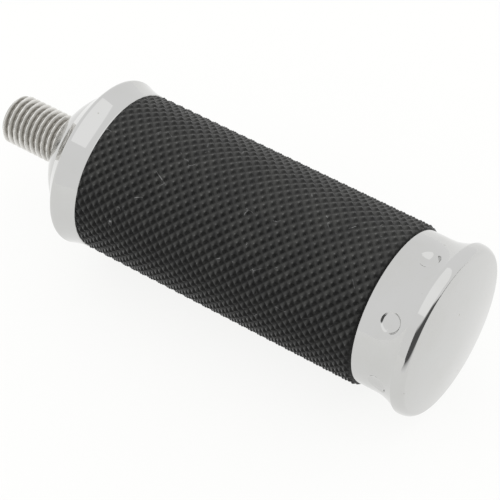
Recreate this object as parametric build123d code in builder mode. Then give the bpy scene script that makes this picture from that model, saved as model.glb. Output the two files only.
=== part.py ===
from build123d import *
import os

# Foot peg for a shift or brake lever: a spindle with a threaded stud carries a collar, a knurled
# rubber sleeve and a screwed-on end cap that clamps the stack. Lengths are millimetres.
#
# The peg lies along X. The origin is on its axis, in the plane of the shoulder that seats against
# the lever. +X points out along the peg to the end cap, +Z is up.

# Rubber sleeve
sleeve_diameter = 25.4
sleeve_length = 48.2
sleeve_edge_chamfer = 0.3

# Spindle: the hub that seats on the lever and the core that fills the sleeve
core_diameter = 15.88
core_end_chamfer = 0.5
hub_length = 3.15
hub_diameter = 20.5
hub_seat_diameter = 13.4
hub_bulge = 0.2
hub_face_rounding = 0.4

# Inner collar, clamped between the hub and the sleeve
collar_length = 6.4
collar_back_step = 0.1
collar_neck_step = 0.1
collar_rim_offset = 2.75
collar_rim_radius = 0.7
collar_neck_length = 1.2
collar_edge_chamfer = 0.15

# The collar's flange and the cap's rim stand this far proud of the sleeve
flange_stand = 0.65

# Mounting stud, 5/16-24 UNF, drawn at its major diameter, with a reduced shank between its threads
stud_diameter = 7.94
stud_projection = 11.7
stud_engagement = 23.5
stud_shank_diameter = 6.9
stud_shank_length = 5.0
stud_chamfer = 0.65
stud_socket_across_flats = 3.97
stud_socket_depth = 4.5

# Joining stud between the spindle and the end cap, 1/4-20 UNC, drawn at its major diameter
joining_stud_diameter = 6.35
joining_stud_chamfer = 0.7
joining_stud_in_spindle = 10.0
joining_stud_in_cap = 5.5
joining_socket_across_flats = 3.18
joining_socket_depth = 3.5

# End cap: a plain ring with seven dimples, a concave flare, a rim and a domed end face
cap_ring_step = 0.62
cap_ring_length = 3.77
cap_flare_radius = 4.66
cap_rim_length = 2.06
cap_rim_inner_rounding = 0.5
cap_rim_outer_rounding = 1.0
cap_dome_height = 1.2
cap_edge_chamfer = 0.15
cap_spigot_depth = 1.8
dimple_count = 7
dimple_diameter = 3.18
dimple_depth = 0.42
dimple_offset = 4.38
dimple_first_angle = 88.0

# Fits
slide_clearance = 0.05
thread_clearance = 0.05
end_clearance = 0.3
hole_bottom_allowance = 1.2

# Stations along X, each worked out from the one before
collar_start = hub_length
sleeve_start = collar_start + collar_length
sleeve_end = sleeve_start + sleeve_length
core_end = sleeve_end + cap_spigot_depth
cap_spigot_bottom = core_end + end_clearance
joining_stud_start = core_end - joining_stud_in_spindle
joining_stud_end = cap_spigot_bottom + joining_stud_in_cap

# Radii
sleeve_radius = sleeve_diameter / 2
flange_radius = sleeve_radius + flange_stand
core_radius = core_diameter / 2
core_bore_radius = core_radius + slide_clearance
stud_hole_radius = stud_diameter / 2 + thread_clearance
joining_hole_radius = joining_stud_diameter / 2 + thread_clearance


def arc_bulging_out(start, end, bulge):
    """Middle point of an arc from start to end that stands off its chord by bulge, to its left."""
    chord_x = end[0] - start[0]
    chord_y = end[1] - start[1]
    chord = (chord_x**2 + chord_y**2) ** 0.5
    middle_x = (start[0] + end[0]) / 2 - bulge * chord_y / chord
    middle_y = (start[1] + end[1]) / 2 + bulge * chord_x / chord
    return (middle_x, middle_y)


# Spindle: hub, core, tapped hole for the mounting stud and tapped hole for the joining stud
hub_seat_edge = (0, hub_seat_diameter / 2)
hub_crown_edge = (hub_length, hub_diameter / 2)
with BuildPart() as spindle:
    with BuildSketch(Plane.XY) as spindle_profile:
        with BuildLine():
            Line((0, 0), hub_seat_edge)
            ThreePointArc(
                hub_seat_edge,
                arc_bulging_out(hub_seat_edge, hub_crown_edge, hub_bulge),
                hub_crown_edge,
            )
            Line(hub_crown_edge, (hub_length, core_radius))
            Line((hub_length, core_radius), (core_end, core_radius))
            Line((core_end, core_radius), (core_end, 0))
            Line((core_end, 0), (0, 0))
        make_face()
        seat_corner = spindle_profile.vertices().group_by(Axis.X)[0].sort_by(Axis.Y)[-1]
        fillet(seat_corner, radius=hub_face_rounding)
        core_corner = spindle_profile.vertices().group_by(Axis.X)[-1].sort_by(Axis.Y)[-1]
        chamfer(core_corner, length=core_end_chamfer)
    revolve(axis=Axis.X)
    with BuildSketch(Plane.YZ):
        Circle(stud_hole_radius)
    extrude(amount=stud_engagement + hole_bottom_allowance, mode=Mode.SUBTRACT)
    with BuildSketch(Plane.YZ.offset(core_end)):
        Circle(joining_hole_radius)
    extrude(amount=-(joining_stud_in_spindle + hole_bottom_allowance), mode=Mode.SUBTRACT)

# Inner collar: conical back, rounded rim and a concave front that runs into the neck
collar_rim_center = (collar_start + collar_rim_offset, flange_radius - collar_rim_radius)
collar_back_edge = (collar_start, hub_diameter / 2 + collar_back_step)
collar_neck_radius = sleeve_radius - collar_neck_step
collar_neck_start = (sleeve_start - collar_neck_length, collar_neck_radius)
collar_neck_end = (sleeve_start, collar_neck_radius)
with BuildPart() as inner_collar:
    with BuildSketch(Plane.XY) as collar_profile:
        with BuildLine():
            rim = CenterArc(collar_rim_center, collar_rim_radius, 50, 95)
            Line(collar_back_edge, rim @ 1)
            TangentArc(collar_neck_start, rim @ 0, tangent=(-1, 0))
            Line(collar_neck_start, collar_neck_end)
            Line(collar_neck_end, (sleeve_start, core_bore_radius))
            Line((sleeve_start, core_bore_radius), (collar_start, core_bore_radius))
            Line((collar_start, core_bore_radius), collar_back_edge)
        make_face()
        neck_corner = collar_profile.vertices().group_by(Axis.X)[-1].sort_by(Axis.Y)[-1]
        chamfer(neck_corner, length=collar_edge_chamfer)
    revolve(axis=Axis.X)

# Rubber sleeve: a plain tube at the height of the knurl crests
with BuildPart() as grip_sleeve:
    with BuildSketch(Plane.YZ.offset(sleeve_start)):
        Circle(sleeve_radius)
        Circle(core_bore_radius, mode=Mode.SUBTRACT)
    extrude(amount=sleeve_length)
    outer_edges = grip_sleeve.edges().filter_by(GeomType.CIRCLE).group_by(SortBy.RADIUS)[-1]
    chamfer(outer_edges, length=sleeve_edge_chamfer)

# End cap
cap_ring_radius = sleeve_radius - cap_ring_step
flare_start = (sleeve_end + cap_ring_length, cap_ring_radius)
flare_rise = flange_radius - cap_ring_radius
flare_run = (cap_flare_radius**2 - (cap_flare_radius - flare_rise) ** 2) ** 0.5
flare_end = (flare_start[0] + flare_run, flange_radius)
rim_end = (flare_end[0] + cap_rim_length, flange_radius)
dome_apex = (rim_end[0] + cap_dome_height, 0)
dimple_ball_radius = (dimple_diameter**2 / 4 + dimple_depth**2) / (2 * dimple_depth)
dimple_center_radius = cap_ring_radius - dimple_depth + dimple_ball_radius
dome_radius = (flange_radius**2 + cap_dome_height**2) / (2 * cap_dome_height)
with BuildPart() as end_cap:
    with BuildSketch(Plane.XY) as cap_profile:
        with BuildLine():
            Line((sleeve_end, core_bore_radius), (sleeve_end, cap_ring_radius))
            Line((sleeve_end, cap_ring_radius), flare_start)
            TangentArc(flare_start, flare_end, tangent=(1, 0))
            Line(flare_end, rim_end)
            RadiusArc(rim_end, dome_apex, dome_radius)
            Line(dome_apex, (cap_spigot_bottom, 0))
            Line((cap_spigot_bottom, 0), (cap_spigot_bottom, core_bore_radius))
            Line((cap_spigot_bottom, core_bore_radius), (sleeve_end, core_bore_radius))
        make_face()
        rim_corners = cap_profile.vertices().group_by(Axis.Y)[-1].sort_by(Axis.X)
        fillet(rim_corners[0], radius=cap_rim_inner_rounding)
        outer_corner = cap_profile.vertices().group_by(Axis.Y)[-1].sort_by(Axis.X)[-1]
        fillet(outer_corner, radius=cap_rim_outer_rounding)
        ring_corner = cap_profile.vertices().group_by(Axis.X)[0].sort_by(Axis.Y)[-1]
        chamfer(ring_corner, length=cap_edge_chamfer)
    revolve(axis=Axis.X)
    with BuildSketch(Plane.YZ.offset(cap_spigot_bottom)):
        Circle(joining_hole_radius)
    extrude(amount=joining_stud_in_cap + hole_bottom_allowance, mode=Mode.SUBTRACT)
    with Locations(Plane.YZ.offset(sleeve_end + dimple_offset)):
        with PolarLocations(dimple_center_radius, dimple_count, start_angle=dimple_first_angle):
            Sphere(dimple_ball_radius, mode=Mode.SUBTRACT)

# Mounting stud with a hex socket in its free end
with BuildPart() as mounting_stud:
    with BuildSketch(Plane.YZ.offset(-stud_projection)):
        Circle(stud_diameter / 2)
    extrude(amount=stud_projection + stud_engagement)
    chamfer(mounting_stud.edges().filter_by(GeomType.CIRCLE), length=stud_chamfer)
    with BuildSketch(Plane.YZ):
        Circle(stud_diameter / 2)
        Circle(stud_shank_diameter / 2, mode=Mode.SUBTRACT)
    extrude(amount=stud_shank_length, mode=Mode.SUBTRACT)
    with BuildSketch(Plane.YZ.offset(-stud_projection)):
        RegularPolygon(stud_socket_across_flats / 2, 6, major_radius=False)
    extrude(amount=stud_socket_depth, mode=Mode.SUBTRACT)

# Joining stud with a hex socket in its inner end
with BuildPart() as joining_stud:
    with BuildSketch(Plane.YZ.offset(joining_stud_start)):
        Circle(joining_stud_diameter / 2)
    extrude(amount=joining_stud_end - joining_stud_start)
    chamfer(joining_stud.edges().filter_by(GeomType.CIRCLE), length=joining_stud_chamfer)
    with BuildSketch(Plane.YZ.offset(joining_stud_end)):
        RegularPolygon(joining_socket_across_flats / 2, 6, major_radius=False)
    extrude(amount=-joining_socket_depth, mode=Mode.SUBTRACT)

os.makedirs("parts", exist_ok=True)
pieces = {
    "spindle": spindle,
    "inner_collar": inner_collar,
    "grip_sleeve": grip_sleeve,
    "end_cap": end_cap,
    "mounting_stud": mounting_stud,
    "joining_stud": joining_stud,
}
for node_name, piece in pieces.items():
    piece.part.label = node_name
    export_step(piece.part, f"parts/{node_name}.step")
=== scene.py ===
"""Foot peg: the finished surfaces, materials, stage and camera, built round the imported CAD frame.

Everything is in metres and in the CAD model's frame: the peg lies along X, its shoulder is at the
origin, +X points to the end cap and +Z is up. Radial places are given as an angle from +Y towards +Z.
"""
import math

import bpy
import numpy as np
from bpy.props import FloatProperty, FloatVectorProperty, IntProperty, PointerProperty
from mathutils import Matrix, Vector


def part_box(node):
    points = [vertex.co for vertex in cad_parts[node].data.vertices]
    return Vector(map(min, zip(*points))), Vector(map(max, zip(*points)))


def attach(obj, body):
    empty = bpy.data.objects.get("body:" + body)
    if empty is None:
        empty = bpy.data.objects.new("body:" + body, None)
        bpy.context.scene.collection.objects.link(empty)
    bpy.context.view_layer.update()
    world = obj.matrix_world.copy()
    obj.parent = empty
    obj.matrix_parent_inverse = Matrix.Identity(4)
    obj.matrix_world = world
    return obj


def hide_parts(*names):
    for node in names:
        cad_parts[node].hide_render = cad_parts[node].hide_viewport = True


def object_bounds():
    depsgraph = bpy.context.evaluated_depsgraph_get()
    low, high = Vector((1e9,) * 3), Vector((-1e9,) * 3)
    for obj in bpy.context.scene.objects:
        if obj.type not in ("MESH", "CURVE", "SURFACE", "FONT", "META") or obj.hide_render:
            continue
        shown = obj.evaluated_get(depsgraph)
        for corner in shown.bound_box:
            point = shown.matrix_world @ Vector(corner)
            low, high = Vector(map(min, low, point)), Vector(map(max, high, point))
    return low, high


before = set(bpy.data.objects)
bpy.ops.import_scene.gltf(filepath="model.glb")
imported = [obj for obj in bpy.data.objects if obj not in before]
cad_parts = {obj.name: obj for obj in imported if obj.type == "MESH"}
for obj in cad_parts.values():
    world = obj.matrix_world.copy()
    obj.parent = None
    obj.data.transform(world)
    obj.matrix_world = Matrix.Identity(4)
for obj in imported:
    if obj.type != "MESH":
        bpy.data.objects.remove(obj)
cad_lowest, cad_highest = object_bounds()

bl_info = {
    "name": "Foot Peg",
    "version": (1, 0, 0),
    "blender": (4, 5, 0),
    "location": "3D View > Sidebar > Foot Peg",
    "description": "Builds a knurled rubber foot peg with a chromed collar, hub and end cap",
    "category": "Object",
}

MM = 0.001

# Sides of a regular hexagon, for the key sockets
HEX_SIDES = 6
# A straight run's shading is kept flat by a second point this far inside each of its ends
HOLD = 0.03 * MM
# Points nearer than this are one point
WELD = 0.00002 * MM
# Steps along a rounding of the collar or the hub's side
ROUND_STEPS = 24
# Edges that turn more than this are shaded as sharp
SHARP_ANGLE = math.radians(32)


# Colour


def linear(code):
    """Linear red, green and blue of an sRGB hex colour: the piecewise sRGB curve, undone."""
    channels = np.array([int(code[i : i + 2], 16) for i in (1, 3, 5)]) / 255
    low = channels / 12.92
    high = ((channels + 0.055) / 1.055) ** 2.4
    return tuple(float(c) for c in np.where(channels <= 0.04045, low, high))


# Outlines: arrays of (x, radius) points in the plane of the peg's axis


def run(start, end):
    """Straight run: its two ends, and a point HOLD inside each of them."""
    start, end = np.array(start, float), np.array(end, float)
    step = (end - start) * HOLD / np.linalg.norm(end - start)
    return np.array([start, start + step, end - step, end])


def arc(centre, radius, first, last, count):
    """Arc: the centre plus radius times (cos, sin) of count + 1 even angles from first to last."""
    angle = np.linspace(first, last, count + 1)
    return np.stack([centre[0] + radius * np.cos(angle), centre[1] + radius * np.sin(angle)], -1)


def bulged(start, end, bulge, count):
    """Arc from start to end that stands off its chord by bulge, to the left of the way it runs, or
    to the right where bulge is negative."""
    start, end = np.array(start, float), np.array(end, float)
    chord = end - start
    length = np.linalg.norm(chord)
    radius = length**2 / (8 * bulge) + bulge / 2
    left = np.array([-chord[1], chord[0]]) / length
    centre = (start + end) / 2 - left * (radius - bulge)
    first = math.atan2(*(start - centre)[::-1])
    last = math.atan2(*(end - centre)[::-1])
    return arc(centre, abs(radius), first, last, count)


def bevelled(corner, before, after, size, count=4):
    """Rounded corner: a quadratic curve that leaves the run from before and joins the one to after,
    size away from the corner on each."""
    corner = np.array(corner, float)
    back = np.array(before, float) - corner
    on = np.array(after, float) - corner
    first = corner + back * size / np.linalg.norm(back)
    last = corner + on * size / np.linalg.norm(on)
    t = np.linspace(0, 1, count + 1)[:, None]
    return (1 - t) ** 2 * first + 2 * t * (1 - t) * corner + t**2 * last


def joined(*stretches):
    """One outline from stretches laid end to end, without the points that they share."""
    points = np.concatenate(stretches)
    gap = np.linalg.norm(np.diff(points, axis=0), axis=1)
    return points[np.concatenate([[True], gap > WELD])]


# Surfaces and meshes


def round_axis(x, radius, angle):
    """Points at x along the peg's axis, radius from it and angle round it from +Y towards +Z."""
    x, radius, angle = np.broadcast_arrays(x, radius, angle)
    return np.stack([x, radius * np.cos(angle), radius * np.sin(angle)], -1)


def turned(outline, angles):
    """Surface of revolution: every outline point at every angle, one row of the grid each."""
    return round_axis(outline[:, :1], outline[:, 1:], angles[None, :])


def even_angles(count):
    """count angles round a full turn, from 0."""
    return np.arange(count) * math.tau / count


def quads_of(grid_index, wrap_rows=False):
    """Four-cornered faces between a grid's rows and columns, with the columns closed in a ring.

    An outline that runs towards +X on the outside of a piece gives faces that point outwards."""
    here = grid_index if wrap_rows else grid_index[:-1]
    ahead = np.roll(grid_index, -1, axis=0) if wrap_rows else grid_index[1:]
    corners = [here, np.roll(here, -1, axis=1), np.roll(ahead, -1, axis=1), ahead]
    return np.stack(corners, -1)


def fan(ring_index, pole, reverse=False):
    """Triangles from each side of a ring to a pole."""
    here, ahead = ring_index, np.roll(ring_index, -1)
    if reverse:
        here, ahead = ahead, here
    return np.stack([here, ahead, np.full_like(here, pole)], -1)


def welded(points, faces):
    """Points without their doubles, or those that no face uses, and the faces on those points."""
    used = np.unique(np.concatenate([f.ravel() for f in faces]))
    keys = np.round(points[used] / WELD).astype(np.int64)
    _, first, inverse = np.unique(keys, axis=0, return_index=True, return_inverse=True)
    place = np.zeros(len(points), np.int64)
    place[used] = inverse.ravel()
    return points[used][first], [place[f] for f in faces]


def numbered(grid):
    """The number of each point in a grid of points."""
    return np.arange(grid.size // 3).reshape(grid.shape[:2])


def closed_on_poles(grid, first, last):
    """Points and faces of a grid whose first and last rows close on poles, at these x on the axis."""
    index = numbered(grid)
    count = index.size
    points = np.concatenate([grid.reshape(-1, 3), [[first, 0, 0], [last, 0, 0]]])
    faces = [
        quads_of(index).reshape(-1, 4),
        fan(index[0], count, reverse=True),
        fan(index[-1], count + 1),
    ]
    return points, faces


def make_mesh(name, points, faces, attributes=None, sharp_angle=SHARP_ANGLE):
    """A smooth-shaded object from points in metres and arrays of faces, sharp where it turns hard."""
    mesh = bpy.data.meshes.new(name)
    mesh.from_pydata(points.tolist(), [], [face for group in faces for face in group.tolist()])
    mesh.validate()
    for key, values in (attributes or {}).items():
        mesh.attributes.new(key, "FLOAT", "POINT").data.foreach_set("value", values.astype(np.float32))
    mesh.shade_smooth()
    mesh.set_sharp_from_angle(angle=sharp_angle)
    piece = bpy.data.objects.new(name, mesh)
    bpy.context.scene.collection.objects.link(piece)
    return piece


def make_turned(name, outline, columns, closed_loop):
    """Object turned from an outline: a closed loop makes a ring, and an outline that starts and ends
    on the axis makes a solid whose two poles are single points."""
    if closed_loop:
        grid = turned(outline, even_angles(columns))
        quads = quads_of(numbered(grid), wrap_rows=True)
        return make_mesh(name, grid.reshape(-1, 3), [quads.reshape(-1, 4)])
    grid = turned(outline[1:-1], even_angles(columns))
    return make_mesh(name, *closed_on_poles(grid, outline[0, 0], outline[-1, 0]))


def mount(piece, node, material):
    """The piece rides on the root body, stands for its CAD node and takes its finish."""
    piece.data.materials.append(material)
    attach(piece, "root")
    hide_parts(node)


# Materials


def add_node(tree, kind, settings, output=0):
    """An output of a new shader node of this kind. settings gives the node's properties and, by name
    or number, its inputs: another node's output is linked, and anything else is set."""
    node = tree.nodes.new("ShaderNode" + kind)
    for key, value in settings.items():
        if isinstance(value, bpy.types.NodeSocket):
            tree.links.new(value, node.inputs[key])
        elif isinstance(key, str) and hasattr(node, key):
            setattr(node, key, value)
        else:
            node.inputs[key].default_value = value
    return node.outputs[output] if node.outputs else None


def new_material(name):
    """An empty node material and its tree."""
    material = bpy.data.materials.new(name)
    material.use_nodes = True
    material.node_tree.nodes.clear()
    return material, material.node_tree


# A Mix node's colour sockets go by number, because its other sockets have the same names
UNDER, OVER, MIXED = 6, 7, 2


def opaque(colour):
    """A colour with full alpha, as a node's socket takes it."""
    return (*colour, 1)


def chrome_plate(finish):
    """Decorative chromium over nickel, electroplated on polished steel.

    The buffed steel under the plate gives a mirror with a faint long waviness. Handling leaves a
    thin uneven film that softens the mirror in places, and a few settled specks of dust."""
    material, tree = new_material("chrome_plate_electroplated")
    place = add_node(tree, "TexCoord", {}, "Object")
    film = add_node(tree, "TexNoise", {"Vector": place, "Scale": 1 / (7 * MM), "Detail": 3})
    wipe_settings = {"Vector": place, "Scale": 1 / (1.6 * MM), "Detail": 4, "Roughness": 0.6}
    wipe = add_node(tree, "TexNoise", wipe_settings)
    film_share = add_node(tree, "MapRange", {"Value": film, "From Min": 0.42, "From Max": 0.66})
    wipe_range = {"Value": wipe, "From Min": 0.35, "From Max": 0.7, "To Min": 0.35}
    wipe_share = add_node(tree, "MapRange", wipe_range)
    wiped_film = add_node(tree, "Math", {"operation": "MULTIPLY", 0: film_share, 1: wipe_share})
    # Specks are drawn about 0.2 mm across, coarser than real dust, so that they show
    speck_settings = {"Vector": place, "Scale": 1 / (2.4 * MM)}
    speck_distance = add_node(tree, "TexVoronoi", speck_settings)
    speck_draw = speck_distance.node.outputs["Color"]
    speck_range = {"Value": speck_distance, "From Min": 0.05, "From Max": 0.085, "To Min": 1, "To Max": 0}
    speck_share = add_node(tree, "MapRange", speck_range)
    chosen = add_node(tree, "MapRange", {"Value": speck_draw, "From Min": 0.72, "From Max": 0.74})
    dust = add_node(tree, "Math", {"operation": "MULTIPLY", 0: speck_share, 1: chosen})
    colour = opaque(finish.chrome_colour)
    layers = ((wiped_film, finish.chrome_film_colour), (dust, finish.chrome_dust_colour))
    for share, above in layers:
        layer = {"data_type": "RGBA", "Factor": share, UNDER: colour, OVER: opaque(above)}
        colour = add_node(tree, "Mix", layer, MIXED)
    # The film's gloss lies between the clean plate's roughness and 0.05 above it
    gloss = {"To Min": finish.chrome_roughness, "To Max": finish.chrome_roughness + 0.05}
    polish = add_node(tree, "MapRange", {"Value": wiped_film, **gloss})
    roughness = add_node(tree, "Math", {"operation": "MULTIPLY_ADD", 0: dust, 1: 0.3, 2: polish})
    waviness = add_node(tree, "TexNoise", {"Vector": place, "Scale": 1 / (4.5 * MM), "Detail": 1})
    wavy = add_node(tree, "Bump", {"Height": waviness, "Strength": 1, "Distance": 0.0016 * MM})
    fine = {"Height": wipe, "Normal": wavy, "Strength": 0.35, "Distance": 0.001 * MM}
    grained = add_node(tree, "Bump", fine)
    surface = {"Metallic": 1, "Base Color": colour, "Roughness": roughness, "Normal": grained}
    shader = add_node(tree, "BsdfPrincipled", surface)
    add_node(tree, "OutputMaterial", {"Surface": shader})
    return material


def moulded_rubber(finish):
    """Black nitrile rubber, compression moulded in a knurled tool.

    Carbon black makes it nearly black. The tool leaves a fine matt skin, the pyramids' points are
    burnished by handling and painted lighter, partly as wear and partly as a painted highlight, and a
    thin grey bloom and a few lint fibres lie over it."""
    material, tree = new_material("nitrile_rubber_moulded")
    place = add_node(tree, "TexCoord", {}, "Object")
    carried = {"attribute_name": "knurl_height", "attribute_type": "GEOMETRY"}
    height = add_node(tree, "Attribute", carried, "Fac")
    coarse = {"Vector": place, "Scale": 1 / (3.2 * MM), "Detail": 4, "Roughness": 0.6}
    mottle = add_node(tree, "TexNoise", coarse)
    fine = {"Vector": place, "Scale": 1 / (0.16 * MM), "Detail": 3, "Roughness": 0.6}
    grain = add_node(tree, "TexNoise", fine)
    patch_range = {"Value": mottle, "From Min": 0.4, "From Max": 0.72, "To Min": 0.4}
    patches = add_node(tree, "MapRange", patch_range)
    powder_range = {"Value": grain, "From Min": 0.3, "From Max": 0.7, "To Min": 0.6}
    powder = add_node(tree, "MapRange", powder_range)
    bloom = add_node(tree, "Math", {"operation": "MULTIPLY", 0: patches, 1: powder})
    # Painted highlight, partly wear: the pyramids' points are painted lighter towards their tops
    point = add_node(tree, "MapRange", {"Value": height, "From Min": 0.72, "From Max": 0.98})
    wear_range = {"Value": mottle, "From Min": 0.35, "From Max": 0.65, "To Min": 0.6}
    wear = add_node(tree, "MapRange", wear_range)
    worn = add_node(tree, "Math", {"operation": "MULTIPLY", 0: point, 1: wear})
    # Lint is drawn about 0.05 mm thick, coarser than real fibres, so that it shows
    swirl_settings = {"Vector": place, "Scale": 1 / (5 * MM), "Detail": 1}
    swirl = add_node(tree, "TexNoise", swirl_settings, "Color")
    bend = {"operation": "MULTIPLY_ADD", 0: swirl, 1: (4 * MM, 4 * MM, 4 * MM), 2: place}
    bent = add_node(tree, "VectorMath", bend)
    web_settings = {"feature": "DISTANCE_TO_EDGE", "Vector": bent, "Scale": 1 / (9 * MM)}
    web = add_node(tree, "TexVoronoi", web_settings)
    thread_range = {"Value": web, "From Min": 0.002, "From Max": 0.005, "To Min": 1, "To Max": 0}
    thread = add_node(tree, "MapRange", thread_range)
    breaks = add_node(tree, "TexNoise", {"Vector": place, "Scale": 1 / (2.2 * MM), "Detail": 1})
    break_range = {"Value": breaks, "From Min": 0.6, "From Max": 0.64, "To Max": 0.8}
    broken = add_node(tree, "MapRange", break_range)
    lint = add_node(tree, "Math", {"operation": "MULTIPLY", 0: thread, 1: broken})
    colour = opaque(finish.rubber_colour)
    layers = (
        (bloom, finish.rubber_bloom_colour),
        (worn, finish.rubber_point_wear_and_highlight_colour),
        (lint, finish.rubber_lint_colour),
    )
    for share, above in layers:
        layer = {"data_type": "RGBA", "Factor": share, UNDER: colour, OVER: opaque(above)}
        colour = add_node(tree, "Mix", layer, MIXED)
    # The skin's grain moves its roughness from 0.06 below the setting to 0.1 above it
    gloss = {"To Min": finish.rubber_roughness - 0.06, "To Max": finish.rubber_roughness + 0.1}
    skin = add_node(tree, "MapRange", {"Value": grain, "From Min": 0.3, "From Max": 0.7, **gloss})
    roughness = add_node(tree, "Math", {"operation": "MULTIPLY_ADD", 0: worn, 1: -0.14, 2: skin})
    tooled = add_node(tree, "Bump", {"Height": grain, "Strength": 0.8, "Distance": 0.008 * MM})
    # A low specular level, because the skin's fine texture scatters most of its gloss
    surface = {
        "IOR": 1.5,
        "Specular IOR Level": 0.1,
        "Sheen Weight": 0.03,
        "Sheen Roughness": 0.4,
        "Base Color": colour,
        "Roughness": roughness,
        "Normal": tooled,
    }
    shader = add_node(tree, "BsdfPrincipled", surface)
    add_node(tree, "OutputMaterial", {"Surface": shader})
    return material


def rolled_steel(finish):
    """Bright zinc-flashed steel with rolled threads.

    Rolling dies burnish the crests and leave fine lines that run round the stud; the flanks are painted
    darker towards the roots, as painted shade."""
    material, tree = new_material("zinc_flashed_steel_rolled")
    place = add_node(tree, "TexCoord", {}, "Object")
    carried = {"attribute_name": "thread_height", "attribute_type": "GEOMETRY"}
    height = add_node(tree, "Attribute", carried, "Fac")
    # Lines 0.06 mm apart along the stud and eight times as long round it
    stretched = add_node(tree, "Mapping", {"Vector": place, "Scale": (8, 1, 1)})
    line_settings = {"Vector": stretched, "Scale": 1 / (0.5 * MM), "Detail": 3, "Roughness": 0.6}
    lines = add_node(tree, "TexNoise", line_settings)
    blotch = add_node(tree, "TexNoise", {"Vector": place, "Scale": 1 / (2 * MM), "Detail": 3})
    line_range = {"Value": lines, "From Min": 0.3, "From Max": 0.7, "To Min": 0.55}
    line_tone = add_node(tree, "MapRange", line_range)
    blotch_range = {"Value": blotch, "From Min": 0.3, "From Max": 0.7, "To Min": 0.6}
    blotch_tone = add_node(tree, "MapRange", blotch_range)
    tone = add_node(tree, "Math", {"operation": "MULTIPLY", 0: line_tone, 1: blotch_tone})
    # Painted shade: the flanks darken from the crests towards the thread roots
    root_shade_range = {"Value": height, "From Min": 0.1, "From Max": 0.9, "To Min": 1, "To Max": 0}
    root = add_node(tree, "MapRange", root_shade_range)
    colour = opaque(finish.steel_dull_colour)
    for share, above in ((tone, finish.steel_colour), (root, finish.steel_root_shade_colour)):
        layer = {"data_type": "RGBA", "Factor": share, UNDER: colour, OVER: opaque(above)}
        colour = add_node(tree, "Mix", layer, MIXED)
    gloss = {"To Min": finish.steel_roughness + 0.12, "To Max": finish.steel_roughness}
    roughness = add_node(tree, "MapRange", {"Value": tone, "From Min": 0.3, **gloss})
    drawn = add_node(tree, "Bump", {"Height": lines, "Strength": 0.5, "Distance": 0.006 * MM})
    surface = {"Metallic": 1, "Base Color": colour, "Roughness": roughness, "Normal": drawn}
    shader = add_node(tree, "BsdfPrincipled", surface)
    add_node(tree, "OutputMaterial", {"Surface": shader})
    return material


def material_named(name, make):
    """The material of this name, made the first time it is asked for."""
    return bpy.data.materials.get(name) or make(bpy.context.scene.peg_finish)


def chrome():
    """The bright parts' plate."""
    return material_named("chrome_plate_electroplated", chrome_plate)


def rubber():
    """The sleeve's rubber."""
    return material_named("nitrile_rubber_moulded", moulded_rubber)


def steel():
    """The studs' steel."""
    return material_named("zinc_flashed_steel_rolled", rolled_steel)


# Settings


def mm(name, description, millimetres):
    """A length that a user can change, in metres."""
    return FloatProperty(
        name=name, description=description, default=millimetres * MM, min=0, unit="LENGTH", precision=5
    )


def degrees(name, description, value):
    """An angle that a user can change, in radians."""
    return FloatProperty(
        name=name, description=description, default=math.radians(value), subtype="ANGLE"
    )


def fraction(name, description, value):
    """A number from 0 to 1 that a user can change."""
    return FloatProperty(
        name=name, description=description, default=value, min=0, max=1, subtype="FACTOR"
    )


def tint(name, description, code):
    """A colour that a user can change, given as an sRGB hex value."""
    return FloatVectorProperty(
        name=name, description=description, default=linear(code), size=3, min=0, max=1, subtype="COLOR"
    )


class SleeveSettings(bpy.types.PropertyGroup):
    """Sizes of the knurled rubber sleeve."""

    diamonds_around: IntProperty(
        name="Diamonds around", description="Knurl pyramids in one turn", default=42, min=6
    )
    knurl_pitch: mm("Knurl pitch", "Pyramid length along the peg", 1.634)
    knurl_depth: mm("Knurl depth", "Groove bottom below the pyramid points", 0.52)
    point_flat: fraction("Point flat", "Share of the depth that is worn off the points", 0.06)
    groove_flat: fraction("Groove flat", "Share of the depth that the groove floor fills", 0.08)
    collar_chamfer: mm("Collar chamfer", "Chamfer at the collar's end", 0.3)
    cap_chamfer: mm("Cap chamfer", "Chamfer at the cap's end, down to the ring", 0.6)
    bore_radius: mm("Bore radius", "Radius of the hole for the spindle", 7.99)
    height_spread: fraction("Height spread", "Unevenness of the points, share of depth", 0.03)


class CollarSettings(bpy.types.PropertyGroup):
    """Sizes of the inner collar."""

    back_radius: mm("Back radius", "Radius where the collar meets the hub", 10.35)
    rim_offset: mm("Rim offset", "Rim centre from the collar's back", 2.75)
    rim_radius: mm("Rim radius", "Rounding of the rim", 0.7)
    rim_front: degrees("Rim front", "Where the rounding ends, towards the sleeve", 68)
    rim_back: degrees("Rim back", "Where the rounding starts, towards the hub", 145)
    neck_radius: mm("Neck radius", "Radius beside the sleeve", 12.6)
    neck_slope: degrees("Neck slope", "Fall of the hollow front beside the sleeve", 4)
    edge_chamfer: mm("Edge chamfer", "Broken edge beside the sleeve", 0.15)
    bore_radius: mm("Bore radius", "Radius of the hole for the spindle", 7.99)


class SpindleSettings(bpy.types.PropertyGroup):
    """Sizes of the spindle, with its hub and core."""

    hub_length: mm("Hub length", "Shoulder to the collar", 3.15)
    hub_bulge: mm("Hub bulge", "How far the hub's side stands off a cone", 0.2)
    seat_radius: mm("Seat radius", "Radius of the face that meets the lever", 6.7)
    seat_rounding: mm("Seat rounding", "Rounding round the seat face", 0.4)
    core_radius: mm("Core radius", "Radius inside the sleeve", 7.94)
    core_chamfer: mm("Core chamfer", "Chamfer at the core's end", 0.5)
    stud_hole_radius: mm("Stud hole radius", "Tapped hole for the mounting stud", 4.02)
    stud_hole_depth: mm("Stud hole depth", "From the shoulder", 24.7)
    joining_hole_radius: mm("Joining hole radius", "Tapped hole for the joining stud", 3.225)
    joining_hole_depth: mm("Joining hole depth", "From the core's end", 11.2)


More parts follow.
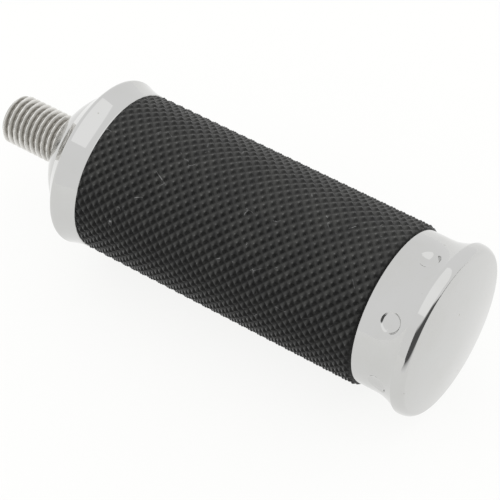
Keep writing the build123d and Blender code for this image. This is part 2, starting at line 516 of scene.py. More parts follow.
class CapSettings(bpy.types.PropertyGroup):
    """Sizes of the end cap."""

    ring_radius: mm("Ring radius", "Plain ring beside the sleeve", 12.08)
    ring_length: mm("Ring length", "Plain ring, along the peg", 3.1)
    flare_radius: mm("Flare radius", "Hollow curve from the ring to the rim", 7.59)
    rim_inner_rounding: mm("Inner rounding", "Rounding towards the sleeve", 0.5)
    rim_outer_rounding: mm("Outer rounding", "Height of the dome's rounding", 0.95)
    rim_outer_run: mm("Outer run", "Length of the dome's rounding", 1.6)
    dome_height: mm("Dome height", "Crown of the end face", 1.2)
    edge_chamfer: mm("Edge chamfer", "Broken edge beside the sleeve", 0.15)
    spigot_radius: mm("Spigot radius", "Recess for the core's end", 7.99)
    spigot_depth: mm("Spigot depth", "Recess for the core's end", 2.1)
    hole_radius: mm("Hole radius", "Tapped hole for the joining stud", 3.225)
    hole_depth: mm("Hole depth", "From the spigot's floor", 6.7)
    dimples: IntProperty(name="Dimples", description="Dimples round the ring", default=7, min=1)
    dimple_radius: mm("Dimple radius", "Radius of the dimple's rim", 1.66)
    dimple_depth: mm("Dimple depth", "Floor below the ring", 0.42)
    dimple_floor_radius: mm("Dimple floor", "Radius of the gently dished floor", 1.22)
    dimple_floor_curve: mm("Dimple floor curve", "Radius of the floor's curve", 4.5)
    dimple_offset: mm("Dimple offset", "Dimple centres from the sleeve", 4.38)
    dimple_first_angle: degrees("First dimple", "From +Y towards +Z", 88.0)


class StudSettings(bpy.types.PropertyGroup):
    """Sizes of the mounting stud and the joining stud."""

    mounting_pitch: mm("Mounting pitch", "24 threads to the inch", 25.4 / 24)
    mounting_chamfer: mm("Mounting chamfer", "Chamfer at both ends", 0.65)
    shank_radius: mm("Shank radius", "Plain shank inside the hub", 3.45)
    shank_length: mm("Shank length", "Plain shank inside the hub", 5.0)
    mounting_socket: mm("Mounting socket", "Hexagon across its flats", 3.97)
    mounting_socket_depth: mm("Mounting socket depth", "Depth of the hexagon", 4.5)
    joining_pitch: mm("Joining pitch", "20 threads to the inch", 25.4 / 20)
    joining_chamfer: mm("Joining chamfer", "Chamfer at both ends", 0.7)
    joining_socket: mm("Joining socket", "Hexagon across its flats", 3.18)
    joining_socket_depth: mm("Joining socket depth", "Depth of the hexagon", 3.5)


class FinishSettings(bpy.types.PropertyGroup):
    """Colours and gloss of the materials."""

    chrome_colour: tint("Chrome", "Clean plate", "#CACAC9")
    chrome_film_colour: tint("Chrome film", "Plate under a film", "#C7C7C5")
    chrome_dust_colour: tint("Chrome dust", "Settled specks", "#B9B8B4")
    chrome_roughness: fraction("Chrome roughness", "Of the clean plate", 0.05)
    rubber_colour: tint("Rubber", "Fresh rubber", "#151515")
    rubber_bloom_colour: tint("Rubber bloom", "Rubber with its grey bloom", "#1E1E1D")
    # Painted highlight, partly wear: the lighter colour laid on the pyramids' points
    rubber_point_wear_and_highlight_colour: tint("Rubber points", "Burnished points", "#383837")
    rubber_lint_colour: tint("Lint", "Fibres on the rubber", "#464646")
    rubber_roughness: fraction("Rubber roughness", "Of the moulded skin", 0.42)
    steel_colour: tint("Steel", "Burnished thread", "#F0EFEC")
    steel_dull_colour: tint("Dull steel", "Between the rolling lines", "#CAC8C3")
    # Painted shade: this colour darkens the flanks towards the thread roots
    steel_root_shade_colour: tint("Thread root", "Oxide in the roots", "#93908A")
    steel_roughness: fraction("Steel roughness", "Of the burnished thread", 0.2)


class StageSettings(bpy.types.PropertyGroup):
    """Floor, light and camera."""

    floor_colour: tint("Floor", "Plain pale floor", "#F6F6F5")
    floor_glow: fraction("Floor glow", "Light that comes up through the floor", 0.62)
    floor_share: fraction("Floor share", "Share of the light from above that it returns", 0.1)
    floor_width: mm("Floor width", "Side of the square floor", 4000)
    surround: FloatProperty(name="Surround", description="Light from all round", default=1.0, min=0)
    box_light: FloatProperty(
        name="Soft box", description="Light of the box over the tent's own", default=0.2, min=0
    )
    box_length: mm("Box length", "Along the peg", 923)
    box_width: mm("Box width", "Across the peg", 810)
    box_height: mm("Box height", "Above the aim", 600)
    box_offset: mm("Box offset", "Towards the end cap", 306.5)
    gap_first: degrees("Gap start", "From -Y towards +X", 25)
    gap_last: degrees("Gap end", "From -Y towards +X", 140)
    gap_near: mm("Gap near", "Start of the cloth, from the aim", 70)
    gap_far: mm("Gap far", "Where the cloth stands up", 350)
    gap_top: mm("Gap top", "Height of the cloth", 260)
    gap_softness: fraction("Gap softness", "Share of the cloth over which it fades out", 0.3)
    gap_lift: mm("Gap lift", "Cloth above the floor", 0.2)
    cloth_colour: tint("Cloth", "Black cloth in the tent's open front", "#5C5C5C")
    key_light: FloatProperty(name="Key light", description="Across its own beam", default=17.0, min=0)
    key_azimuth: degrees("Key azimuth", "From -Y towards +X", -96)
    key_elevation: degrees("Key elevation", "Above the floor", 39)
    view_azimuth: degrees("View azimuth", "Camera round the peg, from -Y towards +X", 34.65)
    view_elevation: degrees("View elevation", "Camera above the floor", 46.59)
    view_distance: mm("View distance", "Camera from its aim", 310.3)
    view_aim: FloatVectorProperty(
        name="View aim",
        description="Point at the middle of the view",
        default=(33.58 * MM, -1.703 * MM, -1.287 * MM),
        size=3,
        unit="LENGTH",
        precision=5,
    )
    view_lens: FloatProperty(name="Lens", description="On a 36 mm sensor", default=152.13, min=1)


# Rubber sleeve

# Grid steps in one pyramid, so that points and grooves fall on grid points
KNURL_STEPS = 8
# Seed of the points' uneven heights, and the pyramids along the peg that have a draw of their own
KNURL_SEED = 7
KNURL_DRAWS = 512
# Only the sleeve's ends are shaded as sharp, because moulded pyramids are soft
KNURL_SHARP_ANGLE = math.radians(80)


def knurl_height(along, around, sleeve):
    """Height of the knurl, 0 in its grooves and 1 at its points.

    Two families of V-grooves cross, one where around + along is whole and one where around - along
    is whole, both counted in pyramids. The height is the distance from the nearer groove of either
    family, as a share of half their spacing, cut off flat at the point and at the floor. Each
    pyramid is a little higher or lower than its neighbours, by a seeded draw."""
    right, left = around + along, around - along
    from_right = 1 - 2 * np.abs(right % 1 - 0.5)
    from_left = 1 - 2 * np.abs(left % 1 - 0.5)
    height = np.minimum(from_right, from_left)
    count = sleeve.diamonds_around
    draw = np.random.default_rng(KNURL_SEED).uniform(-1, 1, (2 * count, KNURL_DRAWS))
    lane = np.floor(right).astype(int) + np.floor(left).astype(int)
    cell = np.floor(right).astype(int) - np.floor(left).astype(int)
    spread = 1 + sleeve.height_spread * draw[lane % (2 * count), cell % KNURL_DRAWS]
    shaped = np.clip(height, sleeve.groove_flat, 1 - sleeve.point_flat) * spread
    return np.clip(shaped, sleeve.groove_flat, 1)


def knurled_sleeve(sleeve):
    """Sleeve with a diamond knurl: a tube whose outer radius is the crest radius less the knurl
    depth times one minus the knurl height, and no more than the chamfered ends allow. The rows run
    along the peg and the columns round it, KNURL_STEPS to a pyramid, and every quad is cut along
    the groove that crosses it."""
    lowest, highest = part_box("grip_sleeve")
    length = highest.x - lowest.x
    crest_radius = highest.z
    rows = round(length / sleeve.knurl_pitch * KNURL_STEPS)
    columns = sleeve.diamonds_around * KNURL_STEPS
    row, column = np.indices((rows + 1, columns))
    x = lowest.x + length * row / rows
    angle = math.tau * column / columns
    height = knurl_height(row / KNURL_STEPS, column / KNURL_STEPS, sleeve)
    radius = crest_radius - sleeve.knurl_depth * (1 - height)
    radius = np.minimum(radius, crest_radius - sleeve.collar_chamfer + x - lowest.x)
    radius = np.minimum(radius, crest_radius - sleeve.cap_chamfer + highest.x - x)
    outside = round_axis(x, radius, angle)
    ends = np.array([[highest.x, sleeve.bore_radius], [lowest.x, sleeve.bore_radius]])
    grid = np.concatenate([outside, turned(ends, angle[0])])
    heights = np.concatenate([height, np.zeros((2, columns))])
    quads = quads_of(numbered(grid), wrap_rows=True)
    quad_row, quad_column = np.indices(quads.shape[:2])
    across = (quad_row + quad_column + 1) % KNURL_STEPS == 0
    cut_one_way = quads[~across]
    cut_other_way = quads[across]
    faces = [
        cut_one_way[:, [0, 1, 2]],
        cut_one_way[:, [0, 2, 3]],
        cut_other_way[:, [0, 1, 3]],
        cut_other_way[:, [1, 2, 3]],
    ]
    return grid.reshape(-1, 3), faces, {"knurl_height": heights.ravel()}


class FOOTPEG_OT_rubber_sleeve(bpy.types.Operator):
    """Make the knurled rubber sleeve"""

    bl_idname = "footpeg.rubber_sleeve"
    bl_label = "Rubber Sleeve"

    def execute(self, context):
        points, faces, attributes = knurled_sleeve(context.scene.peg_sleeve)
        piece = make_mesh("knurled_rubber_sleeve", points, faces, attributes, KNURL_SHARP_ANGLE)
        mount(piece, "grip_sleeve", rubber())
        return {"FINISHED"}


# Inner collar


# Columns round the collar and the spindle
COLLAR_COLUMNS = 384
SPINDLE_COLUMNS = 320


def collar_outline(collar):
    """Closed outline: flat back, cone, rounded rim, hollow front that falls gently to the neck,
    broken edge, front face and bore."""
    lowest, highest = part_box("inner_collar")
    back, front = lowest.x, highest.x
    rim_centre = (back + collar.rim_offset, highest.z - collar.rim_radius)
    rim = arc(rim_centre, collar.rim_radius, collar.rim_back, collar.rim_front, ROUND_STEPS)
    edge = collar.edge_chamfer
    neck_end = (front - edge, collar.neck_radius + edge * math.tan(collar.neck_slope))
    # The hollow turns from its chord's slope to the neck's, so its bulge is half the chord times the
    # tangent of half that turn, inwards
    chord = np.array(neck_end) - rim[-1]
    turn = -math.atan2(chord[1], chord[0]) - collar.neck_slope
    hollow = bulged(rim[-1], neck_end, -np.linalg.norm(chord) / 2 * math.tan(turn / 2), ROUND_STEPS)
    back_edge = (back, collar.back_radius)
    front_edge = (front, collar.neck_radius)
    broken_back = bevelled(back_edge, (back, 0), rim[0], edge)
    broken_front = bevelled(front_edge, neck_end, (front, 0), edge)
    bore_front = (front, collar.bore_radius)
    bore_back = (back, collar.bore_radius)
    return joined(
        run(bore_back, broken_back[0]),
        broken_back,
        run(broken_back[-1], rim[0]),
        rim,
        hollow,
        broken_front,
        run(broken_front[-1], bore_front),
        run(bore_front, bore_back)[:-1],
    )


class FOOTPEG_OT_inner_collar(bpy.types.Operator):
    """Make the chromed inner collar"""

    bl_idname = "footpeg.inner_collar"
    bl_label = "Inner Collar"

    def execute(self, context):
        outline = collar_outline(context.scene.peg_collar)
        piece = make_turned("chromed_inner_collar", outline, COLLAR_COLUMNS, closed_loop=True)
        mount(piece, "inner_collar", chrome())
        return {"FINISHED"}


# Spindle


def spindle_outline(spindle):
    """Outline from the bottom of the stud's hole, out over the seat face, the bulged hub and the
    core, and back in to the bottom of the joining stud's hole."""
    lowest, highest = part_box("spindle")
    start, end = lowest.x, highest.x
    hub_end = start + spindle.hub_length
    seat_edge = (start, spindle.seat_radius)
    hub_side = bulged(seat_edge, (hub_end, highest.z), spindle.hub_bulge, ROUND_STEPS)
    seat = bevelled(hub_side[0], (start, 0), hub_side[1], spindle.seat_rounding / 2, 8)
    stud_mouth = (start, spindle.stud_hole_radius)
    stud_bottom = (start + spindle.stud_hole_depth, spindle.stud_hole_radius)
    core_start = (hub_end, spindle.core_radius)
    core_edge = (end - spindle.core_chamfer, spindle.core_radius)
    end_edge = (end, spindle.core_radius - spindle.core_chamfer)
    joining_mouth = (end, spindle.joining_hole_radius)
    joining_bottom = (end - spindle.joining_hole_depth, spindle.joining_hole_radius)
    clear_of_seat = hub_side[:, 0] > seat[-1, 0]
    return joined(
        run((stud_bottom[0], 0), stud_bottom),
        run(stud_bottom, stud_mouth),
        run(stud_mouth, seat[0]),
        seat,
        hub_side[clear_of_seat],
        run(hub_side[-1], core_start),
        run(core_start, core_edge),
        run(core_edge, end_edge),
        run(end_edge, joining_mouth),
        run(joining_mouth, joining_bottom),
        run(joining_bottom, (joining_bottom[0], 0)),
    )


class FOOTPEG_OT_spindle(bpy.types.Operator):
    """Make the spindle with its chromed hub"""

    bl_idname = "footpeg.spindle"
    bl_label = "Spindle"

    def execute(self, context):
        outline = spindle_outline(context.scene.peg_spindle)
        piece = make_turned("chromed_spindle_hub", outline, SPINDLE_COLUMNS, closed_loop=False)
        mount(piece, "spindle", chrome())
        return {"FINISHED"}


# End cap

# Grid steps along one side of the square patch that holds a dimple, and round the ring between two
PATCH_STEPS = 24
BETWEEN_STEPS = 36
# Steps along the cap's outline: before the dimples' band, after it, and round the rim and the dome
LEAD_STEPS = 10
FLARE_STEPS = 20
INNER_STEPS = 16
OUTER_STEPS = 40
DOME_STEPS = 48
# Rows down a dimple's wall
WALL_ROWS = 12
# Rows from the patch's edge in to the dimple's rim, and from the floor's edge in to its pole
RIM_SHARES = (0, 0.2, 0.4, 0.6, 0.8, 0.93, 1)
FLOOR_SHARES = (0.95, 0.85, 0.7, 0.55, 0.4, 0.25, 0.1)
# Half the patch's side, as a share of the dimple's radius
PATCH_REACH = 1.2


class CapShape:
    """The end cap's outline, worked out from its settings and the CAD model's box."""

    def __init__(self, cap):
        lowest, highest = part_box("end_cap")
        self.cap = cap
        self.start, self.apex = lowest.x, highest.x
        self.rim_radius = highest.z
        self.flare_start = self.start + cap.ring_length
        self.flare_centre = (self.flare_start, cap.ring_radius + cap.flare_radius)
        self.dimple_x = self.start + cap.dimple_offset
        self.reach = cap.dimple_radius * PATCH_REACH

    def flank_radius(self, x):
        """Radius of the ring and the flare at x: level, then a hollow arc that starts level."""
        beyond = np.clip(x - self.flare_start, 0, self.cap.flare_radius * 0.999)
        return self.flare_centre[1] - np.sqrt(self.cap.flare_radius**2 - beyond**2)

    def inside(self):
        """Outline from the bottom of the tapped hole out to the ring's broken edge."""
        cap = self.cap
        floor = self.start + cap.spigot_depth
        bottom = floor + cap.hole_depth
        ring_edge = (self.start, cap.ring_radius)
        broken = bevelled(ring_edge, (self.start, 0), (self.apex, cap.ring_radius), cap.edge_chamfer)
        return joined(
            run((bottom, 0), (bottom, cap.hole_radius)),
            run((bottom, cap.hole_radius), (floor, cap.hole_radius)),
            run((floor, cap.hole_radius), (floor, cap.spigot_radius)),
            run((floor, cap.spigot_radius), (self.start, cap.spigot_radius)),
            run((self.start, cap.spigot_radius), broken[0]),
            broken,
        )

    def flank(self, first, last, count):
        """Ring and flare from first to last in count even steps."""
        x = np.linspace(first, last, count + 1)
        return np.stack([x, self.flank_radius(x)], -1)

    def outside(self):
        """Outline from the end of the dimples' band over the rim to the dome's apex.

        The inner rounding is an arc that touches the flare's arc and the rim. The outer one is a
        quarter of an ellipse, longer along the peg than it is high, that touches the rim and stops
        where its slope is the dome's."""
        cap = self.cap
        inner, outer, outer_run = cap.rim_inner_rounding, cap.rim_outer_rounding, cap.rim_outer_run
        inner_r = self.rim_radius - inner
        reach = cap.flare_radius + inner
        inner_x = self.flare_start + math.sqrt(reach**2 - (self.flare_centre[1] - inner_r) ** 2)
        touch = math.atan2(self.flare_centre[1] - inner_r, self.flare_start - inner_x)
        inner_arc = arc((inner_x, inner_r), inner, touch, math.pi / 2, INNER_STEPS)
        dome_radius = (self.rim_radius**2 + cap.dome_height**2) / (2 * cap.dome_height)
        dome_x = self.apex - dome_radius
        outer_r = self.rim_radius - outer
        dome_slope = outer_r / math.sqrt(dome_radius**2 - outer_r**2)
        turn = np.linspace(math.pi / 2, math.atan(dome_slope * outer / outer_run), OUTER_STEPS + 1)
        outer_arc = np.stack([outer_run * np.cos(turn), outer_r + outer * np.sin(turn)], -1)
        dome_edge = math.asin(outer_arc[-1, 1] / dome_radius)
        dome = arc((dome_x, 0), dome_radius, dome_edge, 0, DOME_STEPS)
        outer_arc[:, 0] += dome[0, 0] - outer_arc[-1, 0]
        flare = self.flank(self.dimple_x + self.reach, inner_arc[0, 0], FLARE_STEPS)
        return joined(flare, inner_arc, run(inner_arc[-1], outer_arc[0]), outer_arc, dome)


def dimple_angles(cap):
    """Angle of each dimple round the ring."""
    return cap.dimple_first_angle + even_angles(cap.dimples)


def patch_half_angle(shape):
    """Half the angle that a dimple's patch takes up round the ring."""
    return math.asin(shape.reach / shape.cap.ring_radius)


def cap_columns(shape):
    """Angles of the grid's columns: for each dimple PATCH_STEPS even steps across its patch, then
    BETWEEN_STEPS even steps to the next patch."""
    half = patch_half_angle(shape)
    across = np.linspace(-half, half, PATCH_STEPS + 1)[:-1]
    between = np.linspace(half, math.tau / shape.cap.dimples - half, BETWEEN_STEPS + 1)[:-1]
    sector = np.concatenate([across, between])
    return (dimple_angles(shape.cap)[:, None] + sector[None, :]).ravel()


def dimple_height(distance, cap):
    """Height of a dimple's dish from the peg's axis, at a distance from the dimple's own axis: a
    gently curved floor, held level at its edge."""
    floor = np.minimum(distance, cap.dimple_floor_radius)
    curve = cap.dimple_floor_curve
    return cap.ring_radius - cap.dimple_depth + curve - np.sqrt(curve**2 - floor**2)


def dimple_patch(shape, middle):
    """Square patch of the ring with a round dimple in it, centred at the angle middle.

    The columns run round the patch's edge. The rows go in from that edge to the dimple's rim in
    straight steps seen from above, then down the wall and over the floor to the pole. Outside the
    rim a point lies on the ring or the flare. The wall falls along half a cosine wave, level at the
    rim and at the floor."""
    cap = shape.cap
    half = patch_half_angle(shape)
    side = np.linspace(-1, 1, PATCH_STEPS + 1)[:-1]
    one = np.ones(PATCH_STEPS)
    edge_x = shape.dimple_x + shape.reach * np.concatenate([side, one, -side, -one])
    edge_angle = half * np.concatenate([-one, side, one, -side])
    edge_t = shape.flank_radius(edge_x) * np.sin(edge_angle)
    direction = np.arctan2(edge_t, edge_x - shape.dimple_x)
    rim_x = shape.dimple_x + cap.dimple_radius * np.cos(direction)
    rim_t = cap.dimple_radius * np.sin(direction)
    share = np.array(RIM_SHARES)[:, None]
    flat_x = edge_x + (rim_x - edge_x) * share
    flat_t = edge_t + (rim_t - edge_t) * share
    flat_h = np.sqrt(shape.flank_radius(flat_x) ** 2 - flat_t**2)
    # Down the wall: from the rim's own height to the floor's edge
    wall = np.linspace(0, 1, WALL_ROWS + 1)[1:, None]
    wall_distance = cap.dimple_radius + (cap.dimple_floor_radius - cap.dimple_radius) * wall
    floor_edge = dimple_height(cap.dimple_floor_radius, cap)
    fall = (1 - np.cos(wall * math.pi)) / 2
    wall_h = flat_h[-1] + (floor_edge - flat_h[-1]) * fall
    floor_distance = cap.dimple_floor_radius * np.array(FLOOR_SHARES)[:, None]
    distance = np.concatenate([wall_distance, floor_distance])
    dish_x = shape.dimple_x + distance * np.cos(direction)
    dish_t = distance * np.sin(direction)
    floor_h = np.broadcast_to(dimple_height(floor_distance, cap), (len(floor_distance), len(direction)))
    x = np.concatenate([flat_x, dish_x])
    t = np.concatenate([flat_t, dish_t])
    height = np.concatenate([flat_h, wall_h, floor_h])
    pole = np.array([[shape.dimple_x, 0.0, dimple_height(0.0, cap)]])
    local = np.concatenate([np.stack([x, t, height], -1).reshape(-1, 3), pole])
    outward = np.array([math.cos(middle), math.sin(middle)])
    sideways = np.array([-math.sin(middle), math.cos(middle)])
    points = np.concatenate([local[:, :1], local[:, 2:] * outward + local[:, 1:2] * sideways], axis=1)
    index = np.arange(x.size).reshape(x.shape)
    # The patch is left-handed, so its faces are turned over to point outwards
    return points, quads_of(index).reshape(-1, 4)[:, ::-1], fan(index[-1], x.size, reverse=True)


def end_cap_surface(cap):
    """End cap: its outline turned round the axis, with a square hole in the band of each dimple that
    a dimple's patch fills point for point."""
    shape = CapShape(cap)
    inside = shape.inside()
    band_start = shape.dimple_x - shape.reach
    lead = shape.flank(inside[-1, 0], band_start, LEAD_STEPS)
    band = shape.flank(band_start, shape.dimple_x + shape.reach, PATCH_STEPS)
    outline = joined(inside, lead, band, shape.outside())
    grid = turned(outline[1:-1], cap_columns(shape))
    index = numbered(grid)
    quads = quads_of(index)
    # The band starts with the lead's last point, and the grid leaves out the first pole
    first_row = len(joined(inside, lead)) - 2
    quad_row, quad_column = np.indices(quads.shape[:2])
    in_band = (quad_row >= first_row) & (quad_row < first_row + PATCH_STEPS)
    in_patch = in_band & (quad_column % (PATCH_STEPS + BETWEEN_STEPS) < PATCH_STEPS)
    poles = np.array([[outline[0, 0], 0, 0], [outline[-1, 0], 0, 0]])
    points = [grid.reshape(-1, 3), poles]
    count = grid.size // 3 + 2
    faces = [quads[~in_patch], fan(index[0], count - 2, reverse=True), fan(index[-1], count - 1)]
    for middle in dimple_angles(cap):
        patch_points, patch_quads, patch_fan = dimple_patch(shape, middle)
        points.append(patch_points)
        faces += [patch_quads + count, patch_fan + count]
        count += len(patch_points)
    return welded(np.concatenate(points), faces)


class FOOTPEG_OT_end_cap(bpy.types.Operator):
    """Make the chromed end cap with its dimples"""

    bl_idname = "footpeg.end_cap"
    bl_label = "End Cap"

    def execute(self, context):
        points, faces = end_cap_surface(context.scene.peg_cap)
        piece = make_mesh("chromed_end_cap", points, faces)
        mount(piece, "end_cap", chrome())
        return {"FINISHED"}


# Studs

# Columns round a stud, a whole number for each side of its hexagon, and rows in one thread
STUD_COLUMNS = 120
THREAD_ROWS = 16
# 60 degree thread with a flat crest: shares of the pitch
CREST_HALF_FLAT = 1 / 16
THREAD_DEPTH = 0.5413
# Socket: its bevelled lip, the step at its bottom, and the drill point's half angle and radius as a
# share of the hexagon's width
SOCKET_LIP = 0.12 * MM
SOCKET_STEP = 0.1 * MM
DRILL_POINT = math.radians(59)
DRILL_SHARE = 0.46
# Tone of the plain faces, on the thread's scale from 0 at its roots to 1 at its crests
PLAIN_HEIGHT = 0.8


def thread_fall(turns, pitch):
    """Depth of a 60 degree thread below its crest, at a place counted in turns from a crest: none
    across the flat crest, then a 30 degree flank down to a flat root."""
    from_crest = np.abs((turns + 0.5) % 1 - 0.5)
    flank = (from_crest - CREST_HALF_FLAT) * math.tan(math.radians(60))
    return pitch * np.clip(flank, 0, THREAD_DEPTH)


def hexagon_radius(across_flats, angle):
    """Distance from a regular hexagon's middle to its side, at an angle."""
    sector = math.tau / HEX_SIDES
    return across_flats / 2 / np.cos(angle % sector - sector / 2)


def threaded_stud(start, end, radius, pitch, chamfer, socket, socket_depth, socket_at_end, shank):
    """Stud with a right-hand thread: the radius at x and angle is the crest radius less the
    thread's fall at (x / pitch - angle / a full turn), and no more than the end chamfers or the
    plain shank allow. One end is flat, and the other holds a hexagon socket with a drill point.
    shank is its radius and its first and last x, or nothing."""
    rows = round((end - start) / pitch * THREAD_ROWS)
    x = np.linspace(start, end, rows + 1)[:, None]
    angle = even_angles(STUD_COLUMNS)[None, :]
    wall = radius - thread_fall(x / pitch - angle / math.tau, pitch)
    to_end = np.minimum(x - start, end - x)
    wall = np.minimum(wall, radius - chamfer + to_end)
    if shank:
        shank_radius, shank_start, shank_end = shank
        outside_shank = np.maximum(np.maximum(shank_start - x, x - shank_end), 0)
        wall = np.minimum(wall, shank_radius + outside_shank)
    body = round_axis(x, wall, angle)
    height = 1 - (radius - wall) / (THREAD_DEPTH * pitch)
    face, inward = (end, -1) if socket_at_end else (start, 1)
    key = hexagon_radius(socket, angle)
    bottom = face + inward * socket_depth
    drill_radius = socket * DRILL_SHARE
    # From the socket's mouth to the drill point's edge
    socket_rows = [
        round_axis(face, key + SOCKET_LIP, angle),
        round_axis(face + inward * SOCKET_LIP, key, angle),
        round_axis(bottom, key, angle),
        round_axis(bottom + inward * SOCKET_STEP, drill_radius, angle),
    ]
    socket_grid = np.concatenate(socket_rows)
    drill_pole = bottom + inward * (SOCKET_STEP + drill_radius / math.tan(DRILL_POINT))
    other_face = start if socket_at_end else end
    if socket_at_end:
        grid = np.concatenate([body, socket_grid])
        first_pole, last_pole = other_face, drill_pole
    else:
        grid = np.concatenate([socket_grid[::-1], body])
        first_pole, last_pole = drill_pole, other_face
    plain = np.full((len(socket_grid), STUD_COLUMNS), PLAIN_HEIGHT)
    heights = [height, plain] if socket_at_end else [plain, height]
    points, faces = closed_on_poles(grid, first_pole, last_pole)
    values = np.concatenate([np.concatenate(heights).ravel(), [PLAIN_HEIGHT, PLAIN_HEIGHT]])
    return points, faces, {"thread_height": np.clip(values, 0, 1)}


def make_stud(name, node, *sizes):
    """The stud that stands for a CAD node, with the sizes that threaded_stud takes from its pitch on."""
    lowest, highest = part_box(node)
    piece = make_mesh(name, *threaded_stud(lowest.x, highest.x, highest.z, *sizes))
    mount(piece, node, steel())


class FOOTPEG_OT_mounting_stud(bpy.types.Operator):
    """Make the mounting stud with its thread and socket"""

    bl_idname = "footpeg.mounting_stud"
    bl_label = "Mounting Stud"

    def execute(self, context):
        stud = context.scene.peg_studs
        make_stud(
            "threaded_mounting_stud",
            "mounting_stud",
            stud.mounting_pitch,
            stud.mounting_chamfer,
            stud.mounting_socket,
            stud.mounting_socket_depth,
            False,
            (stud.shank_radius, 0.0, stud.shank_length),
        )
        return {"FINISHED"}


class FOOTPEG_OT_joining_stud(bpy.types.Operator):
    """Make the hidden stud that joins the spindle and the end cap"""

    bl_idname = "footpeg.joining_stud"
    bl_label = "Joining Stud"

    def execute(self, context):
        stud = context.scene.peg_studs
        make_stud(
            "threaded_joining_stud",
            "joining_stud",
            stud.joining_pitch,
            stud.joining_chamfer,
            stud.joining_socket,
            stud.joining_socket_depth,
            True,
            None,
        )
        return {"FINISHED"}


# Stage

# Camera: sensor width in millimetres, and the nearest and furthest that it sees, in metres
SENSOR_WIDTH = 36
CLIP_RANGE = (0.01, 20)


def plain_floor(stage):
    """A level square floor that the peg's flanges rest on: a sheet of opal acrylic, lit from below
    as a light table is, so that shadows on it stay faint."""
    half = stage.floor_width / 2
    height = cad_lowest.z
    corners = [(-half, -half, height), (half, -half, height), (half, half, height), (-half, half, height)]
    mesh = bpy.data.meshes.new("floor")
    mesh.from_pydata(corners, [], [(0, 1, 2, 3)])
    floor = bpy.data.objects.new("floor", mesh)
    bpy.context.scene.collection.objects.link(floor)
    material, tree = new_material("opal_acrylic_sheet")
    place = add_node(tree, "TexCoord", {}, "Object")
    rolled = add_node(tree, "TexNoise", {"Vector": place, "Scale": 1 / (1.5 * MM), "Detail": 3})
    grained = add_node(tree, "Bump", {"Height": rolled, "Strength": 0.2, "Distance": 0.02 * MM})
    surface = {
        "Base Color": opaque(stage.floor_share * c for c in stage.floor_colour),
        "Roughness": 0.8,
        "Emission Color": opaque(stage.floor_colour),
        "Emission Strength": stage.floor_glow,
        "Normal": grained,
    }
    shader = add_node(tree, "BsdfPrincipled", surface)
    add_node(tree, "OutputMaterial", {"Surface": shader})
    mesh.materials.append(material)


def soft_box(stage):
    """A rectangular soft box level above the peg, a little brighter than the tent round it."""
    data = bpy.data.lights.new("soft_box", "AREA")
    data.shape = "RECTANGLE"
    data.size, data.size_y = stage.box_length, stage.box_width
    # An area light's radiance is its power over its area and pi
    data.energy = stage.box_light * stage.box_length * stage.box_width * math.pi
    lamp = bpy.data.objects.new("soft_box", data)
    lamp.location = Vector(stage.view_aim) + Vector((stage.box_offset, 0, stage.box_height))
    bpy.context.scene.collection.objects.link(lamp)


# How much of the cloth's full width and height there is at each azimuth, in degrees
GAP_AZIMUTHS = (25, 34, 84, 108, 140)
GAP_PARTS = (0, 1, 1, 0.18, 0)
GAP_COLUMNS = 65


def heading(azimuth, elevation):
    """Unit vector at an azimuth, from -Y towards +X, and an elevation."""
    level = math.cos(elevation)
    return Vector((math.sin(azimuth) * level, -math.cos(azimuth) * level, math.sin(elevation)))


def key_light(stage):
    """A distant light above the stud's end that models the matt pieces. It is kept out of mirrors,
    and casts no shadow on the light table."""
    data = bpy.data.lights.new("key_light", "SUN")
    data.energy = stage.key_light
    data.use_shadow = False
    lamp = bpy.data.objects.new("key_light", data)
    toward = heading(stage.key_azimuth, stage.key_elevation)
    lamp.rotation_euler = (-toward).to_track_quat("-Z", "Y").to_euler()
    lamp.visible_glossy = False
    bpy.context.scene.collection.objects.link(lamp)


def dark_surround(stage):
    """The open front of the light tent, as black cloth that only reflections see: its outline lies
    on the floor from near to far and then stands up, and is carried round the peg from one azimuth
    to the other, counted from -Y towards +X. It fades into the tent along both edges, narrows to
    nothing where it starts and runs out in a low strip."""
    floor = cad_lowest.z + stage.gap_lift
    azimuth = np.linspace(stage.gap_first, stage.gap_last, GAP_COLUMNS)
    part = np.interp(np.degrees(azimuth), GAP_AZIMUTHS, GAP_PARTS)
    depth = (stage.gap_far - stage.gap_near) * part
    rise = (stage.gap_top - floor) * part
    solid = 1 - stage.gap_softness
    reach = stage.gap_far - np.outer([1, solid, 0, 0, 0], depth)
    height = floor + np.outer([0, 0, 0, solid, 1], rise)
    share = np.broadcast_to(np.array([[0.0], [1.0], [1.0], [1.0], [0.0]]), reach.shape)
    x = stage.view_aim[0] + reach * np.sin(azimuth)
    y = stage.view_aim[1] - reach * np.cos(azimuth)
    grid = np.stack([x, y, height], -1)
    index = np.arange(x.size).reshape(x.shape)
    quads = np.stack([index[:-1, :-1], index[:-1, 1:], index[1:, 1:], index[1:, :-1]], -1)
    attributes = {"cloth_share": share.ravel()}
    cloth = make_mesh("black_cloth", grid.reshape(-1, 3), [quads.reshape(-1, 4)], attributes)
    material, tree = new_material("black_velvet")
    carried = {"attribute_name": "cloth_share", "attribute_type": "GEOMETRY"}
    cover = add_node(tree, "Attribute", carried, "Fac")
    tent = opaque((stage.surround,) * 3)
    fade = {"data_type": "RGBA", "Factor": cover, UNDER: tent, OVER: opaque(stage.cloth_colour)}
    colour = add_node(tree, "Mix", fade, MIXED)
    shader = add_node(tree, "Emission", {"Color": colour})
    add_node(tree, "OutputMaterial", {"Surface": shader})
    cloth.data.materials.append(material)
    cloth.visible_camera = False
    cloth.visible_shadow = False
    cloth.visible_diffuse = False


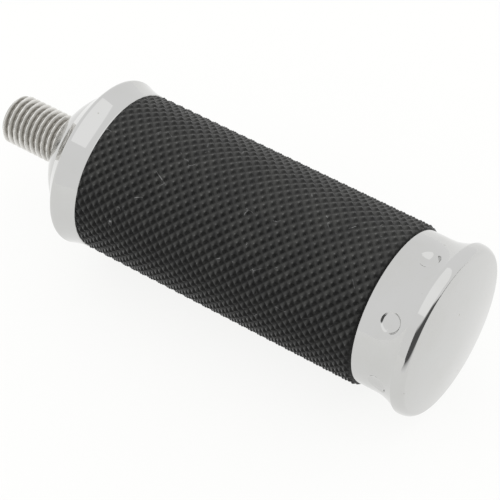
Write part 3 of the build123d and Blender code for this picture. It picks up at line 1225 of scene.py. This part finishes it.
class FOOTPEG_OT_stage(bpy.types.Operator):
    """Make the floor, the lights and the camera"""

    bl_idname = "footpeg.stage"
    bl_label = "Stage"

    def execute(self, context):
        stage = context.scene.peg_stage
        plain_floor(stage)
        aim = Vector(stage.view_aim)
        world = bpy.data.worlds.new("light_tent")
        context.scene.world = world
        world.use_nodes = True
        tree = world.node_tree
        tree.nodes.clear()
        light = add_node(tree, "Background", {"Color": (1, 1, 1, 1), "Strength": stage.surround})
        add_node(tree, "OutputWorld", {"Surface": light})
        soft_box(stage)
        key_light(stage)
        dark_surround(stage)
        data = bpy.data.cameras.new("camera")
        data.sensor_width = SENSOR_WIDTH
        data.lens = stage.view_lens
        data.clip_start, data.clip_end = CLIP_RANGE
        camera = bpy.data.objects.new("camera", data)
        back = heading(stage.view_azimuth, stage.view_elevation)
        camera.location = aim + back * stage.view_distance
        camera.rotation_euler = (-back).to_track_quat("-Z", "Y").to_euler()
        context.scene.collection.objects.link(camera)
        context.scene.camera = camera
        context.scene.view_settings.view_transform = "Standard"
        return {"FINISHED"}


# Panel and registration

OPERATORS = (
    FOOTPEG_OT_stage,
    FOOTPEG_OT_rubber_sleeve,
    FOOTPEG_OT_inner_collar,
    FOOTPEG_OT_spindle,
    FOOTPEG_OT_end_cap,
    FOOTPEG_OT_mounting_stud,
    FOOTPEG_OT_joining_stud,
)
SETTINGS = {
    "peg_sleeve": SleeveSettings,
    "peg_collar": CollarSettings,
    "peg_spindle": SpindleSettings,
    "peg_cap": CapSettings,
    "peg_studs": StudSettings,
    "peg_finish": FinishSettings,
    "peg_stage": StageSettings,
}


class FOOTPEG_PT_panel(bpy.types.Panel):
    """Lists the foot peg's pieces and their settings"""

    bl_idname = "FOOTPEG_PT_panel"
    bl_label = "Foot Peg"
    bl_space_type = "VIEW_3D"
    bl_region_type = "UI"
    bl_category = "Foot Peg"

    def draw(self, context):
        for operator in OPERATORS:
            self.layout.operator(operator.bl_idname)
        for key, group in SETTINGS.items():
            box = self.layout.box()
            box.label(text=group.__name__.replace("Settings", ""))
            for name in group.__annotations__:
                box.prop(getattr(context.scene, key), name)


def register():
    for group in SETTINGS.values():
        bpy.utils.register_class(group)
    for key, group in SETTINGS.items():
        setattr(bpy.types.Scene, key, PointerProperty(type=group))
    for operator in OPERATORS:
        bpy.utils.register_class(operator)
    bpy.utils.register_class(FOOTPEG_PT_panel)


def unregister():
    bpy.utils.unregister_class(FOOTPEG_PT_panel)
    for operator in reversed(OPERATORS):
        bpy.utils.unregister_class(operator)
    for key in SETTINGS:
        delattr(bpy.types.Scene, key)
    for group in reversed(list(SETTINGS.values())):
        bpy.utils.unregister_class(group)


def main():
    """Builds the whole peg and its stage."""
    register()
    for operator in OPERATORS:
        group, name = operator.bl_idname.split(".")
        getattr(getattr(bpy.ops, group), name)()


if __name__ == "__main__":
    main()
